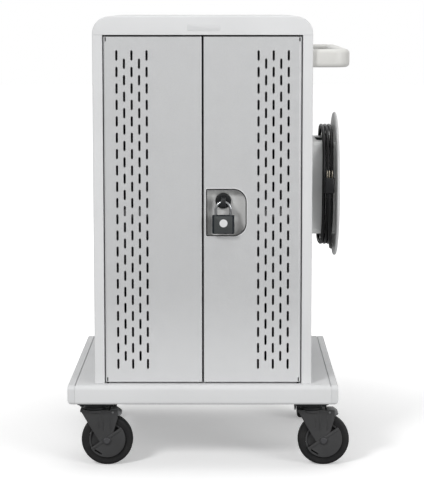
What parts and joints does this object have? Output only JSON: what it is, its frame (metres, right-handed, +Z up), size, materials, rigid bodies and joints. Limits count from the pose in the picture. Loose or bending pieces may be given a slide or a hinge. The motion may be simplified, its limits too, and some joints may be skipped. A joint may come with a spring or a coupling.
{
  "type": "laptop charging cart",
  "caption": "Wheeled laptop charging cart: a steel cabinet with slotted locking doors, inner divider racks, a side push handle and a cord winder.",
  "frame": {"origin": "on the floor under the middle of the cart's box", "axes": "+Z up, the doors face -Y, the push handle and the cord winder are on the +X side"},
  "size_m": [0.695, 0.645, 1.112],
  "materials": {
    "frame_paint": "satin light grey powder coat",
    "bumper_plastic": "satin light grey moulding",
    "inner_paint": "satin grey powder coat",
    "door_paint": "satin silver grey powder coat",
    "pan_paint": "satin grey",
    "steel": "bright zinc",
    "black_plastic": "fine grained",
    "padlock_case": "dark satin",
    "handle_plastic": "satin warm grey moulding",
    "winder_plastic": "satin grey moulding",
    "cord_jacket": "smooth black jacket",
    "wheel_plastic": "dark grey nylon",
    "tyre": "non-marking dark rubber",
    "pedal_plastic": "grey nylon"
  },
  "bodies": {
    "cart": {"base_bumper_left": "bumper_plastic", "base_bumper_right": "bumper_plastic", "base_rail_front": "inner_paint", "base_rail_rear": "inner_paint", "base_tray": "frame_paint", "caster_plate_front_left": "black_plastic", "caster_plate_front_right": "black_plastic", "caster_plate_rear_left": "black_plastic", "caster_plate_rear_right": "black_plastic", "cord_gland": "black_plastic", "divider_rack_lower": "inner_paint", "divider_rack_upper": "inner_paint", "hinge_pin_left_lower": "black_plastic", "hinge_pin_left_upper": "black_plastic", "hinge_pin_right_lower": "black_plastic", "hinge_pin_right_upper": "black_plastic", "middle_deck": "inner_paint", "power_cord": "cord_jacket", "power_plug": "black_plastic", "power_strip_lower": "black_plastic", "power_strip_upper": "black_plastic", "push_handle": "handle_plastic", "rear_panel": "frame_paint", "rear_partition": "inner_paint", "side_panel_left": "frame_paint", "side_panel_right": "frame_paint", "top_cap": "frame_paint", "winder_core": "winder_plastic", "winder_flange": "winder_plastic"},
    "left_door": {"door_left": "door_paint"},
    "right_door": {"door_right": "door_paint", "lock_pan": "pan_paint", "latch_rose": "steel"},
    "latch": {"latch_knob": "black_plastic", "latch_cam": "steel"},
    "shackle": {"padlock_shackle": "steel"},
    "padlock": {"padlock_body": "padlock_case"},
    "caster_front_left": {"caster_fork_front_left": "wheel_plastic", "caster_axle_front_left": "steel"},
    "wheel_front_left": {"wheel_hub_front_left": "wheel_plastic", "wheel_tyre_front_left": "tyre"},
    "brake_front_left": {"brake_pedal_front_left": "pedal_plastic"},
    "caster_front_right": {"caster_fork_front_right": "wheel_plastic", "caster_axle_front_right": "steel"},
    "wheel_front_right": {"wheel_hub_front_right": "wheel_plastic", "wheel_tyre_front_right": "tyre"},
    "brake_front_right": {"brake_pedal_front_right": "pedal_plastic"},
    "caster_rear_left": {"caster_fork_rear_left": "wheel_plastic", "caster_axle_rear_left": "steel"},
    "wheel_rear_left": {"wheel_hub_rear_left": "wheel_plastic", "wheel_tyre_rear_left": "tyre"},
    "caster_rear_right": {"caster_fork_rear_right": "wheel_plastic", "caster_axle_rear_right": "steel"},
    "wheel_rear_right": {"wheel_hub_rear_right": "wheel_plastic", "wheel_tyre_rear_right": "tyre"}
  },
  "joints": [
    {"name": "left_door_hinge", "type": "hinge", "parent": "cart", "child": "left_door", "pos_m": [-0.249, -0.2915, 0.6395], "axis": [0, 0, -1], "range_deg": [0, 105]},
    {"name": "right_door_hinge", "type": "hinge", "parent": "cart", "child": "right_door", "pos_m": [0.218, -0.2915, 0.6395], "axis": [0, 0, 1], "range_deg": [0, 105]},
    {"name": "latch_turn", "type": "hinge", "parent": "right_door", "child": "latch", "pos_m": [0.0344, -0.2975, 0.663], "axis": [0, -1, 0], "range_deg": [0, 90]},
    {"name": "padlock_swing", "type": "hinge", "parent": "latch", "child": "shackle", "pos_m": [0.0344, -0.3102, 0.663], "axis": [-1, 0, 0], "range_deg": [0, 70]},
    {"name": "padlock_release", "type": "slide", "parent": "shackle", "child": "padlock", "axis": [0, 0, -1], "range_m": [0, 0.012]},
    {"name": "front_left_swivel", "type": "hinge", "parent": "cart", "child": "caster_front_left", "pos_m": [-0.2845, -0.2575, 0.141], "axis": [0, 0, 1], "continuous": true},
    {"name": "front_left_spin", "type": "hinge", "parent": "caster_front_left", "child": "wheel_front_left", "pos_m": [-0.2545, -0.2575, 0.064], "axis": [0, 1, 0], "continuous": true},
    {"name": "front_left_brake", "type": "hinge", "parent": "caster_front_left", "child": "brake_front_left", "pos_m": [-0.2395, -0.2575, 0.135], "axis": [0, 1, 0], "range_deg": [0, 7]},
    {"name": "front_right_swivel", "type": "hinge", "parent": "cart", "child": "caster_front_right", "pos_m": [0.2535, -0.2575, 0.141], "axis": [0, 0, 1], "continuous": true},
    {"name": "front_right_spin", "type": "hinge", "parent": "caster_front_right", "child": "wheel_front_right", "pos_m": [0.2835, -0.2575, 0.064], "axis": [0, 1, 0], "continuous": true},
    {"name": "front_right_brake", "type": "hinge", "parent": "caster_front_right", "child": "brake_front_right", "pos_m": [0.2985, -0.2575, 0.135], "axis": [0, 1, 0], "range_deg": [0, 7]},
    {"name": "rear_left_swivel", "type": "hinge", "parent": "cart", "child": "caster_rear_left", "pos_m": [-0.2845, 0.2575, 0.141], "axis": [0, 0, 1], "continuous": true},
    {"name": "rear_left_spin", "type": "hinge", "parent": "caster_rear_left", "child": "wheel_rear_left", "pos_m": [-0.2845, 0.2275, 0.064], "axis": [1, 0, 0], "continuous": true},
    {"name": "rear_right_swivel", "type": "hinge", "parent": "cart", "child": "caster_rear_right", "pos_m": [0.2535, 0.2575, 0.141], "axis": [0, 0, 1], "continuous": true},
    {"name": "rear_right_spin", "type": "hinge", "parent": "caster_rear_right", "child": "wheel_rear_right", "pos_m": [0.2535, 0.2275, 0.064], "axis": [1, 0, 0], "continuous": true}
  ]
}
